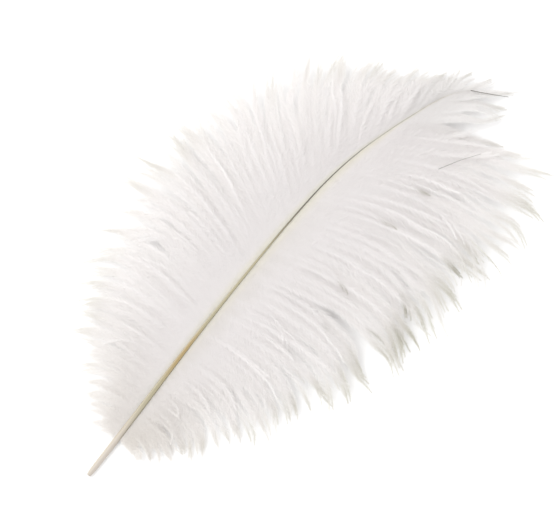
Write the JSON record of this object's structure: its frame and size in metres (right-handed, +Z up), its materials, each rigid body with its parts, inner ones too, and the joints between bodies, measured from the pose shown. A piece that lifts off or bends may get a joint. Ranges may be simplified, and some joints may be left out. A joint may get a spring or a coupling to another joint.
{
  "type": "ostrich feather",
  "caption": "White ostrich plume lying on a surface: a bare quill and an arched shaft that bends at the tip, with loose pointed locks of barbs on both sides.",
  "frame": {"origin": "on the flat under the quill, 8 mm from its cut end, at the surface that the feather lies on", "axes": "+X along the quill towards the plume, +Y to the plume's left side, +Z up from the surface"},
  "size_m": [0.2881, 0.192, 0.018],
  "materials": {
    "barbs": "matte",
    "quill": "satin"
  },
  "bodies": {
    "root": {"ostrich_feather": "barbs"}
  },
  "joints": []
}
